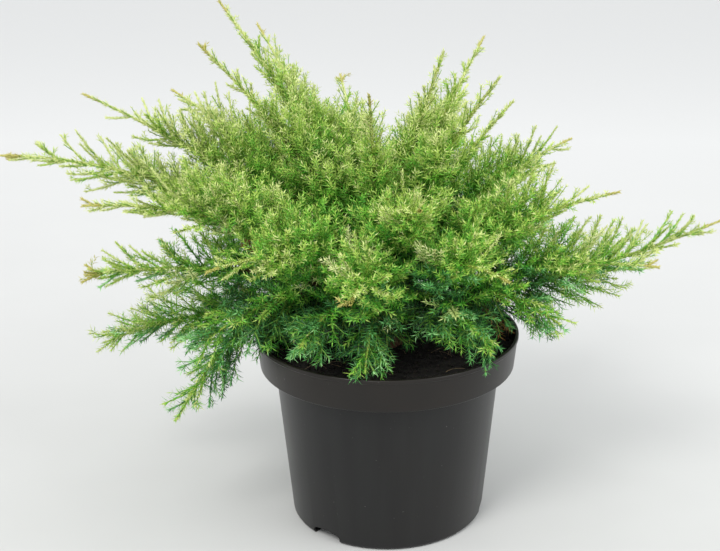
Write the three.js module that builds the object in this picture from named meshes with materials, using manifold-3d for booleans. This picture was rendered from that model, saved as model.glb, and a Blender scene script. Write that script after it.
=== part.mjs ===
// A young spreading juniper in a round nursery pot.
//
// The pot is a thin moulded shell with a wide collar, filled with peat almost to its rim. A short leaning trunk
// stands in the peat. Limbs leave it in a rising spiral and arch out on all sides. Each limb is a bare bough
// near the trunk, and carries on as the stem of one mass of needle sprays.
//
// Millimetres, +Z up. The origin is the centre of the pot's flat underside. The front is -Y, and an azimuth is
// counted in degrees from +X towards +Y.

import * as THREE from "three";
import { mergeVertices } from "three/addons/utils/BufferGeometryUtils.js";
import Module from "manifold-3d";

const wasm = await Module();
wasm.setup();

// Pot: outer sizes of the moulded shell.
const POT_HEIGHT = 168;
const POT_WALL = 1.6;
const POT_FOOT_RADIUS = 85;
const POT_FOOT_ROUND = 4;
const SHOULDER_HEIGHT = 139; // underside of the collar
const SHOULDER_RADIUS = 97.5;
const COLLAR_FOOT_RADIUS = 110;
const RIM_RADIUS = 113.5;
const RIM_BEAD = 0.9; // how far the top edge is rolled out
const RIM_BEAD_HEIGHT = 4;
const POT_SIDES = 36;

// Drain notches: pockets in the foot, each under a small moulded roof.
const NOTCH_COUNT = 3;
const NOTCH_FIRST_AZIMUTH = -128;
const NOTCH_WIDTH = 29;
const NOTCH_HEIGHT = 9.5;
const NOTCH_DEPTH = 15; // inwards from the foot
const NOTCH_SPRING = 0.5; // share of its height where a notch's sides lean in to its crown
const NOTCH_CROWN = 0.62; // the crown's width, as a share of the notch's

const PEAT_LEVEL = 156;
const GAP = 0.3; // clearance between touching pieces

// Trunk.
const TRUNK_TOP = 238;
const TRUNK_FOOT_RADIUS = 10.5;
const TRUNK_TOP_RADIUS = 6.5;
const TRUNK_LEAN = { x: -9, y: 5 }; // how far the top stands from above the foot
const TRUNK_RISES = [0, 4, 13, 34, 58, 76]; // heights of its rings over the peat
const FLARE_RADIUS = 6.5; // added at ground level
const FLARE_HEIGHT = 13;
const FLARE_LOBES = 5;
const FLARE_LOBE_DEPTH = 0.12;
const TRUNK_SIDES = 10;

// Limbs: where each tip is, and how far the middle control point of its curve is pulled up over the straight line
// from foot to tip. They are listed in the order in which their feet climb the trunk. A leafy one has no bough,
// only foliage.
const FIRST_FOOT = 167;
const LAST_FOOT = 234;
const BARE_LENGTH = 36; // of each bough, from the trunk's middle
const BOUGH_SIDES = 5;
const BOUGH_STEPS = 3;
const LIMB_STEPS = 20; // points on the line that stands for a limb when distances are taken
const LIMBS = [
  { name: "front_low_left", azimuth: -118, out: 137, height: 200, arch: 52, leafy: true },
  { name: "left_droop", azimuth: -160, out: 185, height: 111, arch: 125 },
  { name: "right_low", azimuth: -14, out: 224, height: 241, arch: 42 },
  { name: "back_low_left", azimuth: 136, out: 240, height: 205, arch: 40 },
  { name: "front_low_right", azimuth: -50, out: 128, height: 186, arch: 58, leafy: true },
  { name: "left_low", azimuth: 172, out: 259, height: 140, arch: 40 },
  { name: "back_low", azimuth: 92, out: 256, height: 198, arch: 45 },
  { name: "front_low", azimuth: -98, out: 114, height: 176, arch: 58, leafy: true },
  { name: "right_far", azimuth: 0, out: 279, height: 264, arch: -22 },
  { name: "left_front_low", azimuth: -150, out: 174, height: 183, arch: 56, leafy: true },
  { name: "back_low_right", azimuth: 48, out: 235, height: 206, arch: 45 },
  { name: "left_flat", azimuth: -171, out: 248, height: 229, arch: 34 },
  { name: "right_front_low", azimuth: -28, out: 156, height: 200, arch: 44, leafy: true },
  { name: "front_mid", azimuth: -97, out: 188, height: 258, arch: 36, leafy: true },
  { name: "left_far", azimuth: 180, out: 317, height: 320, arch: 60 },
  { name: "back_mid_left", azimuth: 114, out: 220, height: 300, arch: 40 },
  { name: "right_mid", azimuth: -24, out: 194, height: 309, arch: 24 },
  { name: "front_left", azimuth: -129, out: 200, height: 270, arch: 40, leafy: true },
  { name: "front_right", azimuth: -60, out: 176, height: 262, arch: 36, leafy: true },
  { name: "back_mid_right", azimuth: 68, out: 205, height: 348, arch: 34 },
  { name: "left_mid", azimuth: -156, out: 246, height: 304, arch: 40 },
  { name: "right_back", azimuth: 28, out: 186, height: 316, arch: 24 },
  { name: "front_upper", azimuth: -80, out: 146, height: 312, arch: 26, leafy: true },
  { name: "left_high", azimuth: 175, out: 252, height: 367, arch: 22 },
  { name: "front_high_left", azimuth: -97, out: 95, height: 385, arch: 12 },
  { name: "top_right", azimuth: 2, out: 103, height: 364, arch: 12 },
  { name: "left_back_high", azimuth: 153, out: 216, height: 358, arch: 22 },
  { name: "top_back", azimuth: 108, out: 142, height: 366, arch: 14 },
  { name: "top_left_front", azimuth: -156, out: 152, height: 418, arch: 20 },
  { name: "front_high_right", azimuth: -41, out: 112, height: 395, arch: 14, leafy: true },
  { name: "top_left_back", azimuth: 134, out: 168, height: 413, arch: 14 },
  { name: "top_right_back", azimuth: 46, out: 121, height: 406, arch: 10 },
  { name: "top_middle", azimuth: -20, out: 48, height: 407, arch: 4, leafy: true },
  { name: "top_left", azimuth: 168, out: 139, height: 441, arch: 20 },
];

// Space: what a limb's mass keeps clear of.
const SPACE_MARGIN = 1.5; // by how much its points are nearer to its own limb than to any other
const RIM_CLEARANCE = 10; // on either side of the pot's rim
const TRUNK_CLEARANCE = 13; // from the trunk's middle

// Bough and stem thickness: a longer limb is thicker at its foot.
const FOOT_RADIUS = { shortest: 2.3, longest: 3.4 };
const LIMB_LENGTH = { shortest: 150, longest: 380 };
const TIP_RADIUS = 0.7;
const TAPER_POWER = 0.8;

// Side twigs: the rule by which they leave a mass's stem.
const TWIG_SPACING = 15.2;
const TWIG_STRAY = 0.25; // how far a twig stands from its even place on the stem, in spacings
const TWIG_FIRST = 0.03; // shares of the stem's length
const TWIG_LAST = 0.83;
const TWIG_SHARE = 0.42; // longest side twig, as a share of the stem's length
const TWIG_LONGEST = 86;
const TWIG_TAPER = 1; // power by which twigs shorten towards the stem's tip
const TWIG_LEAST = 24;
const UPRIGHT = { from: 0.45, full: 0.85 }; // climb of a limb, over its span, from which it counts as upright
const UPRIGHT_TRIM = 0.62; // length of an upright limb's twigs, as a share of a level one's
const TURN_DEGREES = 137.5; // from one twig to the next, around the stem
const TURN_JITTER = 18;
const TURNS_TRIED = [0, 120, 240]; // further turns around the stem, where the first leaves no room
const FORK_DEGREES = { inner: 62, outer: 28 };
const FORK_JITTER = 6;
const LENGTH_JITTER = 0.2;
const FLATTEN = 0.25; // by how much twigs above and below the stem are shorter
const TURN_UP = 0.12; // how far a twig's tip is raised, as a share of its length
const TRIM_STEPS = [1, 0.85, 0.7, 0.56, 0.44]; // lengths tried before a twig is left out

// Needles: whorls of three that stand out of a slim three-sided core, larger than life.
const NEEDLES_A_WHORL = 3;
const WHORL_SPACING = 21;
const WHORL_TURN = 60; // degrees from one whorl to the next
const NEEDLE_FORWARD = 1.08; // how far a needle's point lies ahead of its root, in spacings between whorls
const STEM_NEEDLES = { foot: 12, dense: 16, tip: 4, denseAt: 0.25 };
const TWIG_NEEDLES = { foot: 14, tip: 4.5 };
const POINT_LENGTH = 0.3; // of a spray beyond its last needles, in spacings between whorls
const TWIG_RADIUS = 1.3;
const TWIG_BARE = 0.16; // share of a side twig before its first needles
const STEM_BARE = 6; // length of a stem before its first needles
const ROOM_SHARE = 0.45; // of the way to the nearest other limb that a stem's needles may reach

const WELD_DISTANCE = 1e-4; // under which corners count as one
const UP = new THREE.Vector3(0, 0, 1);
const FRONT = new THREE.Vector3(0, -1, 0);
const STEEP = 0.99; // from this share of a line's run on, it counts as upright
const radians = THREE.MathUtils.degToRad;

// Materials.
const plastic = new THREE.MeshStandardMaterial({ color: 0x34373a, roughness: 0.45, metalness: 0 });
const peat = new THREE.MeshStandardMaterial({ color: 0x1c1512, roughness: 1, metalness: 0 });
const bark = new THREE.MeshStandardMaterial({ color: 0x6b4a35, roughness: 0.9, metalness: 0 });
const needles = new THREE.MeshStandardMaterial({ color: 0x6f9a45, roughness: 0.7, metalness: 0 });

// Seeded numbers from 0 to 1: each limb draws its own stream.
const SEED = 7919;
const DRAW_FACTOR = 48271;
const DRAW_MODULUS = 2147483647;

function drawsFor(index) {
  let state = SEED * (index + 1);
  return () => {
    state = (state * DRAW_FACTOR) % DRAW_MODULUS;
    return state / DRAW_MODULUS;
  };
}

const mix = (from, to, share) => from + (to - from) * share;

function polar(azimuth, radius, height) {
  const angle = radians(azimuth);
  return new THREE.Vector3(radius * Math.cos(angle), radius * Math.sin(angle), height);
}

// A closed three.js geometry as a solid that can be joined and cut.
function solidOf(geometry) {
  const bare = geometry.index ? geometry.toNonIndexed() : geometry.clone();
  bare.deleteAttribute("normal");
  bare.deleteAttribute("uv");
  const merged = mergeVertices(bare, WELD_DISTANCE);
  return new wasm.Manifold(
    new wasm.Mesh({
      numProp: 3,
      vertProperties: new Float32Array(merged.attributes.position.array),
      triVerts: new Uint32Array(merged.index.array),
    }),
  );
}

function geometryOf(solid) {
  const mesh = solid.getMesh();
  const geometry = new THREE.BufferGeometry();
  geometry.setAttribute("position", new THREE.BufferAttribute(new Float32Array(mesh.vertProperties), 3));
  geometry.setIndex(new THREE.BufferAttribute(new Uint32Array(mesh.triVerts), 1));
  geometry.computeVertexNormals();
  return geometry;
}

function largestPiece(solid) {
  return solid.decompose().reduce((best, piece) => (piece.volume() > best.volume() ? piece : best));
}

// A profile of [radius, height] points turned about the Z axis.
function turned(profile, sides) {
  const points = profile.map(([radius, height]) => new THREE.Vector2(radius, height));
  return new THREE.LatheGeometry(points, sides).rotateX(Math.PI / 2);
}

// Rings of points along a line, one for each station, which has a centre, a radius and a turn about the line.
// A radius of 0 gives a point. shape(angle, station) scales the radius around the ring.
function ringsAt(stations, sides, shape = () => 1) {
  let across = null;
  return stations.map((station, i) => {
    const before = stations[Math.max(i - 1, 0)].centre;
    const after = stations[Math.min(i + 1, stations.length - 1)].centre;
    const along = station.along ?? after.clone().sub(before).normalize();
    across ??= new THREE.Vector3().crossVectors(along, Math.abs(along.z) > STEEP ? FRONT : UP);
    across.addScaledVector(along, -across.dot(along)).normalize();
    const other = new THREE.Vector3().crossVectors(along, across);
    const ring = [];
    const count = station.radius > 0 ? sides : 1;
    for (let k = 0; k < count; k += 1) {
      const angle = (2 * Math.PI * k) / sides + (station.turn ?? 0);
      const radius = station.radius * shape(angle, station);
      const point = station.centre.clone().addScaledVector(across, radius * Math.cos(angle));
      ring.push(point.addScaledVector(other, radius * Math.sin(angle)));
    }
    return ring;
  });
}

// A closed skin over rings of points, capped flat at both ends.
function skinOver(rings) {
  const positions = rings.flat().flatMap((point) => point.toArray());
  const faces = [];
  let first = 0;
  const numbered = rings.map((ring) => {
    first += ring.length;
    return ring.map((_, k) => first - ring.length + k);
  });
  numbered.slice(1).forEach((ring, i) => faces.push(...bandBetween(numbered[i], ring)));
  faces.push(...fanOver(numbered[0], false), ...fanOver(numbered.at(-1), true));
  const geometry = new THREE.BufferGeometry();
  geometry.setAttribute("position", new THREE.BufferAttribute(new Float32Array(positions), 3));
  geometry.setIndex(faces);
  return geometry;
}

function bandBetween(lower, upper) {
  const count = Math.max(lower.length, upper.length);
  const at = (ring, k) => ring[ring.length === 1 ? 0 : k % ring.length];
  const faces = [];
  for (let k = 0; k < count; k += 1) {
    if (lower.length > 1) faces.push(at(lower, k), at(lower, k + 1), at(upper, k));
    if (upper.length > 1) faces.push(at(lower, k + 1), at(upper, k + 1), at(upper, k));
  }
  return faces;
}

function fanOver(ring, faceForward) {
  const faces = [];
  for (let k = 1; k < ring.length - 1; k += 1) {
    faces.push(ring[0], ring[faceForward ? k : k + 1], ring[faceForward ? k + 1 : k]);
  }
  return faces;
}

// Pot.
// The drain notches as solids to cut, or with a margin their roofs' outsides.
function notches(margin) {
  const slots = [];
  for (let i = 0; i < NOTCH_COUNT; i += 1) {
    const azimuth = NOTCH_FIRST_AZIMUTH + (360 / NOTCH_COUNT) * i;
    const inner = POT_FOOT_RADIUS - NOTCH_DEPTH - margin;
    const outer = POT_FOOT_RADIUS + NOTCH_DEPTH;
    const bottom = margin > 0 ? POT_WALL / 2 : -1;
    const top = NOTCH_HEIGHT + margin;
    const half = NOTCH_WIDTH / 2 + margin;
    const arch = [
      [-half, bottom],
      [half, bottom],
      [half, top * NOTCH_SPRING],
      [half * NOTCH_CROWN, top],
      [-half * NOTCH_CROWN, top],
      [-half, top * NOTCH_SPRING],
    ].map(([x, y]) => new THREE.Vector2(x, y));
    const run = { depth: outer - inner, bevelEnabled: false };
    const slot = new THREE.ExtrudeGeometry(new THREE.Shape(arch), run);
    slot.rotateX(Math.PI / 2).rotateZ(Math.PI / 2).translate(inner, 0, 0).rotateZ(radians(azimuth));
    slots.push(solidOf(slot));
  }
  return slots;
}

const potOutside = [
  [POT_FOOT_RADIUS - POT_FOOT_ROUND, 0],
  [POT_FOOT_RADIUS, POT_FOOT_ROUND],
  [SHOULDER_RADIUS, SHOULDER_HEIGHT],
  [COLLAR_FOOT_RADIUS, SHOULDER_HEIGHT],
  [RIM_RADIUS - RIM_BEAD, POT_HEIGHT - RIM_BEAD_HEIGHT],
  [RIM_RADIUS, POT_HEIGHT],
];
const potInside = [
  [RIM_RADIUS - RIM_BEAD - POT_WALL, POT_HEIGHT],
  [COLLAR_FOOT_RADIUS - POT_WALL, SHOULDER_HEIGHT + POT_WALL],
  [SHOULDER_RADIUS - POT_WALL, SHOULDER_HEIGHT + POT_WALL],
  [POT_FOOT_RADIUS - POT_WALL, POT_FOOT_ROUND + POT_WALL],
  [POT_FOOT_RADIUS - POT_FOOT_ROUND, POT_WALL],
];

function makePot() {
  const shell = solidOf(turned([[0, 0], ...potOutside, ...potInside, [0, POT_WALL]], POT_SIDES));
  const full = solidOf(turned([[0, 0], ...potOutside, [0, POT_HEIGHT]], POT_SIDES));
  const roofs = notches(POT_WALL).map((slot) => slot.intersect(full));
  return notches(0).reduce((pot, slot) => pot.subtract(slot), wasm.Manifold.union([shell, ...roofs]));
}

// Radius of the pot's inner face at a height.
function insideRadius(height) {
  const at = potInside.findIndex(([, level]) => level <= height);
  const [above, below] = [potInside[at - 1], potInside[at]];
  const share = (height - below[1]) / (above[1] - below[1]);
  return mix(below[0], above[0], share);
}

function makePeat() {
  const inner = potInside.slice(1).map(([radius, height]) => [radius - GAP, height + GAP]);
  const profile = [[0, POT_WALL + GAP], ...inner.reverse(), [insideRadius(PEAT_LEVEL) - GAP, PEAT_LEVEL]];
  const block = solidOf(turned([...profile, [0, PEAT_LEVEL]], POT_SIDES));
  return notches(POT_WALL + GAP).reduce((filling, slot) => filling.subtract(slot), block);
}

// Trunk.
// The trunk leans further the higher it is.
function trunkCentre(height) {
  const bow = Math.pow((height - PEAT_LEVEL) / (TRUNK_TOP - PEAT_LEVEL), 2);
  return new THREE.Vector3(TRUNK_LEAN.x * bow, TRUNK_LEAN.y * bow, height);
}

// From 1 at ground level to 0 at the top of the root flare.
function flareAt(height) {
  return Math.max(0, 1 - (height - PEAT_LEVEL) / FLARE_HEIGHT);
}

function trunkRadius(height) {
  const share = (height - PEAT_LEVEL) / (TRUNK_TOP - PEAT_LEVEL);
  return mix(TRUNK_FOOT_RADIUS, TRUNK_TOP_RADIUS, share) + FLARE_RADIUS * Math.pow(flareAt(height), 2);
}

// The trunk, flared in lobes at its foot, or with a margin the space that other pieces stay out of.
function makeTrunk(margin) {
  const stations = TRUNK_RISES.map((rise) => ({
    centre: trunkCentre(PEAT_LEVEL + Math.max(rise, GAP)),
    radius: trunkRadius(PEAT_LEVEL + rise) + margin,
    along: UP,
  }));
  stations.push({ centre: trunkCentre(TRUNK_TOP + margin), radius: TRUNK_TOP_RADIUS / 2 + margin, along: UP });
  const depthAt = (height) => FLARE_LOBE_DEPTH * flareAt(height);
  const lobes = (angle, station) => 1 + depthAt(station.centre.z) * Math.cos(FLARE_LOBES * angle);
  return solidOf(skinOver(ringsAt(stations, TRUNK_SIDES, lobes)));
}

// Limbs. A limb is one curve, which its bough follows up to bareShare and its mass's stem from stemStart on.
const CURVE_STEP = 0.001;

function limbFrom(entry, index) {
  const height = mix(FIRST_FOOT, LAST_FOOT, index / (LIMBS.length - 1));
  const foot = trunkCentre(height);
  const tip = polar(entry.azimuth, entry.out, entry.height);
  const crest = foot.clone().lerp(tip, 0.5).addScaledVector(UP, entry.arch);
  const curve = new THREE.QuadraticBezierCurve3(foot, crest, tip);
  const line = curve.getPoints(LIMB_STEPS);
  const length = line.slice(1).reduce((sum, point, i) => sum + point.distanceTo(line[i]), 0);
  const size = (length - LIMB_LENGTH.shortest) / (LIMB_LENGTH.longest - LIMB_LENGTH.shortest);
  const thick = mix(FOOT_RADIUS.shortest, FOOT_RADIUS.longest, THREE.MathUtils.clamp(size, 0, 1));
  const radiusAt = (t) => mix(TIP_RADIUS, thick, Math.pow(1 - t, TAPER_POWER));
  const climb = (tip.z - foot.z) / tip.distanceTo(foot);
  const twigTrim = mix(1, UPRIGHT_TRIM, THREE.MathUtils.smoothstep(climb, UPRIGHT.from, UPRIGHT.full));
  const bareShare = (entry.leafy ? TRUNK_CLEARANCE : BARE_LENGTH) / length;
  const speed = curve.getPoint(bareShare + CURVE_STEP).distanceTo(curve.getPoint(bareShare)) / CURVE_STEP;
  const stemStart = entry.leafy ? 0 : bareShare + GAP / speed;
  return { ...entry, index, curve, line, length, radiusAt, twigTrim, bareShare, stemStart };
}

function distanceToLine(line, point) {
  let least = Infinity;
  const run = new THREE.Vector3();
  const offset = new THREE.Vector3();
  for (let i = 1; i < line.length; i += 1) {
    run.subVectors(line[i], line[i - 1]);
    offset.subVectors(point, line[i - 1]);
    const share = Math.min(Math.max(offset.dot(run) / run.lengthSq(), 0), 1);
    least = Math.min(least, offset.addScaledVector(run, -share).length());
  }
  return least;
}

const limbs = LIMBS.map(limbFrom);

function makeBough(limb, trunkAndGap) {
  const stations = [];
  for (let i = 0; i <= BOUGH_STEPS; i += 1) {
    const t = (limb.bareShare * i) / BOUGH_STEPS;
    const along = limb.curve.getTangent(t);
    stations.push({ centre: limb.curve.getPoint(t), radius: limb.radiusAt(t), along });
  }
  return largestPiece(solidOf(skinOver(ringsAt(stations, BOUGH_SIDES))).subtract(trunkAndGap));
}

// Distance from a point to the nearest limb but this one.
function distanceToOthers(limb, point) {
  return Math.min(...limbs.filter((other) => other !== limb).map((other) => distanceToLine(other.line, point)));
}

function clearOfPot(point) {
  const out = Math.hypot(point.x, point.y);
  const overPeat = out < RIM_RADIUS - RIM_CLEARANCE && point.z > PEAT_LEVEL + GAP;
  return overPeat || point.z > POT_HEIGHT + GAP || out > RIM_RADIUS + RIM_CLEARANCE;
}

function clearOfTrunk(point) {
  const centre = trunkCentre(point.z);
  return point.z > TRUNK_TOP + GAP || Math.hypot(point.x - centre.x, point.y - centre.y) > TRUNK_CLEARANCE;
}

// Whether a point is in its limb's own space: nearer to it than to any other limb, and clear of pot and trunk.
function inOwnSpace(limb, point) {
  const own = distanceToLine(limb.line, point) + SPACE_MARGIN;
  return own < distanceToOthers(limb, point) && clearOfPot(point) && clearOfTrunk(point);
}

// A slim core with whorls of three needles, along the line that place(share) gives. Needles stand out of it by
// reachAt(share), from the share named bare on. The core tapers to a point, and its foot is flat across heading.
function needleRings({ place, length, bare, radiusAt, reachAt, heading }) {
  const whorls = Math.max(2, Math.round((length * (1 - bare)) / WHORL_SPACING));
  const pitch = (1 - bare) / whorls;
  const stations = [{ centre: place(0), radius: radiusAt(0), along: heading }];
  for (let i = 0; i < whorls; i += 1) {
    const share = bare + pitch * i;
    const turn = radians(WHORL_TURN * i);
    const tooth = Math.min(share + pitch * NEEDLE_FORWARD, 1 - pitch * POINT_LENGTH);
    stations.push({ centre: place(share), radius: radiusAt(share), turn });
    stations.push({ centre: place(tooth), radius: radiusAt(tooth) + reachAt(tooth), turn });
  }
  stations.push({ centre: place(1), radius: 0 });
  return ringsAt(stations, NEEDLES_A_WHORL);
}

// How far a stem's needles stand out: most at the share named denseAt, where the mass is thickest.
function stemReach(share) {
  const { foot, dense, tip, denseAt } = STEM_NEEDLES;
  if (share < denseAt) return mix(foot, dense, share / denseAt);
  return mix(dense, tip, (share - denseAt) / (1 - denseAt));
}

function stemRings(limb) {
  const place = (share) => limb.curve.getPoint(mix(limb.stemStart, 1, share));
  const reachAt = (share) => Math.min(stemReach(share), ROOM_SHARE * distanceToOthers(limb, place(share)));
  const needlesFrom = limb.bareShare + STEM_BARE / limb.length;
  return needleRings({
    place,
    length: limb.length * (1 - limb.stemStart),
    bare: (needlesFrom - limb.stemStart) / (1 - limb.stemStart),
    radiusAt: (share) => limb.radiusAt(mix(limb.stemStart, 1, share)),
    reachAt,
    heading: limb.curve.getTangent(limb.stemStart),
  });
}

function twigRings(root, heading, length) {
  const place = (share) => {
    const rise = TURN_UP * length * share * share;
    return root.clone().addScaledVector(heading, length * share).addScaledVector(UP, rise);
  };
  return needleRings({
    place,
    length,
    bare: TWIG_BARE,
    radiusAt: (share) => mix(TWIG_RADIUS, TIP_RADIUS, share),
    reachAt: (share) => mix(TWIG_NEEDLES.foot, TWIG_NEEDLES.tip, share),
  });
}

// A direction at a fork angle from a stem's, turned around the stem from straight over it.
function headingFrom(along, fork, turn) {
  const side = new THREE.Vector3().crossVectors(along, UP).normalize();
  const over = new THREE.Vector3().crossVectors(side, along);
  return along
    .clone()
    .multiplyScalar(Math.cos(fork))
    .addScaledVector(over, Math.sin(fork) * Math.cos(turn))
    .addScaledVector(side, Math.sin(fork) * Math.sin(turn));
}

// The side twigs of a limb's mass, each as rings. A twig that would leave the limb's space is made shorter, or
// left out.
function sideTwigs(limb) {
  const draw = drawsFor(limb.index);
  const jitter = (size) => size * (2 * draw() - 1);
  const stemLength = limb.length * (1 - limb.bareShare);
  const count = Math.round((stemLength * (TWIG_LAST - TWIG_FIRST)) / TWIG_SPACING);
  const twigs = [];
  for (let i = 0; i < count; i += 1) {
    const share = mix(TWIG_FIRST, TWIG_LAST, (i + 0.5 + jitter(TWIG_STRAY)) / count);
    const turn = TURN_DEGREES * i + jitter(TURN_JITTER);
    const fork = radians(mix(FORK_DEGREES.inner, FORK_DEGREES.outer, share) + jitter(FORK_JITTER));
    const longest = Math.min(stemLength * TWIG_SHARE * Math.pow(1 - share, TWIG_TAPER), TWIG_LONGEST);
    const full = longest * limb.twigTrim * (1 + jitter(LENGTH_JITTER));
    const t = mix(limb.bareShare, 1, share);
    const root = limb.curve.getPoint(t);
    const angles = TURNS_TRIED.map((more) => radians(turn + more));
    const tries = TRIM_STEPS.flatMap((trim) => angles.map((angle) => ({ trim, angle })));
    for (const { trim, angle } of tries) {
      const length = full * trim * (1 - FLATTEN * Math.abs(Math.cos(angle)));
      if (length < TWIG_LEAST) continue;
      const rings = twigRings(root, headingFrom(limb.curve.getTangent(t), fork, angle), length);
      if (rings.flat().every((point) => inOwnSpace(limb, point))) {
        twigs.push(rings);
        break;
      }
    }
  }
  return twigs;
}

function makeMass(limb, trunkAndGap) {
  const pieces = [stemRings(limb), ...sideTwigs(limb)];
  const mass = wasm.Manifold.union(pieces.map((rings) => solidOf(skinOver(rings))));
  return largestPiece(mass.subtract(trunkAndGap));
}

// The whole plant.
const plant = new THREE.Group();

function add(name, solid, material) {
  const mesh = new THREE.Mesh(geometryOf(solid), material);
  mesh.name = name;
  plant.add(mesh);
}

const trunkAndGap = makeTrunk(GAP);
add("pot", makePot(), plastic);
add("peat", makePeat(), peat);
add("trunk", makeTrunk(0), bark);
for (const limb of limbs) {
  if (!limb.leafy) add(`bough_${limb.name}`, makeBough(limb, trunkAndGap), bark);
  add(`foliage_${limb.name}`, makeMass(limb, trunkAndGap), needles);
}

export default plant;
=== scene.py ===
"""Looks of a young spreading juniper in a round nursery pot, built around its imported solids.

Sizes are in millimetres, as in the solids' source, and become metres when a mesh is made. +Z is up, the
front is -Y, and an azimuth is counted in degrees from +X towards +Y.
"""

import math
from dataclasses import dataclass, replace
from types import SimpleNamespace as Order

import bmesh
import bpy
import numpy as np
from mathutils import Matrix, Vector, noise


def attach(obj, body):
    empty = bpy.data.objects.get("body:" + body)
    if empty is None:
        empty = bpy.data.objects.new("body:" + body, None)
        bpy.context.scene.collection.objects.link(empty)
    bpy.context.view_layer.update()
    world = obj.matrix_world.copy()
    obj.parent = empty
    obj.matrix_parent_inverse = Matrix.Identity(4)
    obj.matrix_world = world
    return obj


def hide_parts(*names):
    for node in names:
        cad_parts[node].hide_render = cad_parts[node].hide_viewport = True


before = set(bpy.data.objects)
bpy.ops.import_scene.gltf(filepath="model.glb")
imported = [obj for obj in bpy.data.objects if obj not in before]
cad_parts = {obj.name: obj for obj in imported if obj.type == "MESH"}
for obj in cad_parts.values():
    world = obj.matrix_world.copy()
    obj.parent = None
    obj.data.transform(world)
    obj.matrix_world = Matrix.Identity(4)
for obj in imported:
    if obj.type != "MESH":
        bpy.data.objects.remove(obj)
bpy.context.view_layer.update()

MM = 0.001
UP = np.array([0.0, 0.0, 1.0])

# Camera: fitted to the photograph's scales and to the pot's ellipses.
IMAGE_WIDTH = 720
FOCAL_PIXELS = 1128
AXIS_PIXEL = 399  # column that the camera's axis meets
CAMERA_PLACE = (0.0102, -0.912, 0.521)
CAMERA_PITCH = 18.5  # degrees under the horizon
SENSOR_WIDTH = 36

# Pot, as in the source.
POT_HEIGHT = 168
POT_WALL = 1.6
POT_FOOT_RADIUS = 85
POT_FOOT_ROUND = 4
SHOULDER_HEIGHT = 139
SHOULDER_RADIUS = 97.5
COLLAR_FOOT_RADIUS = 110
RIM_RADIUS = 113.5
RIM_BEAD = 0.9
RIM_BEAD_HEIGHT = 4
NOTCH_COUNT = 3
NOTCH_FIRST_AZIMUTH = -128
NOTCH_WIDTH = 29
NOTCH_HEIGHT = 9.5
NOTCH_DEPTH = 15
NOTCH_SPRING = 0.5
PEAT_LEVEL = 156
GAP = 0.3

# Trunk, as in the source.
TRUNK_TOP = 238
TRUNK_FOOT_RADIUS = 10.5
TRUNK_TOP_RADIUS = 6.5
TRUNK_LEAN = np.array([-9.0, 5.0])
FLARE_RADIUS = 6.5
FLARE_HEIGHT = 13
FLARE_LOBES = 5
FLARE_LOBE_DEPTH = 0.12

# Limbs, as in the source: name, azimuth, distance out and height of the tip, and arch.
FIRST_FOOT = 167
LAST_FOOT = 234
BARE_LENGTH = 36
LIMB_STEPS = 20
LEAFY = (
    "front_low_left", "front_low_right", "front_low", "left_front_low", "right_front_low", "front_mid",
    "front_left", "front_right", "front_upper", "front_high_right", "top_middle",
)
LIMBS = [
    ("front_low_left", -118, 137, 200, 52),
    ("left_droop", -160, 185, 111, 125),
    ("right_low", -14, 224, 241, 42),
    ("back_low_left", 136, 240, 205, 40),
    ("front_low_right", -50, 128, 186, 58),
    ("left_low", 172, 259, 140, 40),
    ("back_low", 92, 256, 198, 45),
    ("front_low", -98, 114, 176, 58),
    ("right_far", 0, 279, 264, -22),
    ("left_front_low", -150, 174, 183, 56),
    ("back_low_right", 48, 235, 206, 45),
    ("left_flat", -171, 248, 229, 34),
    ("right_front_low", -28, 156, 200, 44),
    ("front_mid", -97, 188, 258, 36),
    ("left_far", 180, 317, 320, 60),
    ("back_mid_left", 114, 220, 300, 40),
    ("right_mid", -24, 194, 309, 24),
    ("front_left", -129, 200, 270, 40),
    ("front_right", -60, 176, 262, 36),
    ("back_mid_right", 68, 205, 348, 34),
    ("left_mid", -156, 246, 304, 40),
    ("right_back", 28, 186, 316, 24),
    ("front_upper", -80, 146, 312, 26),
    ("left_high", 175, 252, 367, 22),
    ("front_high_left", -97, 95, 385, 12),
    ("top_right", 2, 103, 364, 12),
    ("left_back_high", 153, 216, 358, 22),
    ("top_back", 108, 142, 366, 14),
    ("top_left_front", -156, 152, 418, 20),
    ("front_high_right", -41, 112, 395, 14),
    ("top_left_back", 134, 168, 413, 14),
    ("top_right_back", 46, 121, 406, 10),
    ("top_middle", -20, 48, 407, 4),
    ("top_left", 168, 139, 441, 20),
]

# Space that a limb's twigs keep clear of, as in the source.
SPACE_MARGIN = 1.5
RIM_CLEARANCE = 10
TRUNK_CLEARANCE = 13

# Limb thickness, as in the source.
FOOT_RADIUS = (2.3, 3.4)
LIMB_LENGTH = (150, 380)
TIP_RADIUS = 0.7
TAPER_POWER = 0.8

# The source's rule for side twigs.
TWIG_SPACING = 15.2
TWIG_STRAY = 0.25
TWIG_FIRST = 0.03
TWIG_LAST = 0.83
TWIG_SHARE = 0.42
TWIG_LONGEST = 86
TWIG_LEAST = 24
UPRIGHT = (0.45, 0.85)  # climb of a limb, over its span, from which it counts as upright
UPRIGHT_TRIM = 0.62
TURN_DEGREES = 137.5
TURN_JITTER = 18
TURNS_TRIED = (0, 120, 240)
FORK_DEGREES = (62, 28)  # near the trunk, and at the limb's tip
FORK_JITTER = 6
LENGTH_JITTER = 0.2
FLATTEN = 0.25
TURN_UP = 0.12
TRIM_STEPS = (1, 0.85, 0.7, 0.56, 0.44)
WHORL_SPACING = 21
WHORL_TURN = 60
NEEDLE_FORWARD = 1.08
NEEDLE_REACH = (14, 4.5)
POINT_LENGTH = 0.3
TWIG_RADIUS = 1.3
TWIG_BARE = 0.16
SEED = 7919
DRAW_FACTOR = 48271
DRAW_MODULUS = 2147483647

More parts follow.
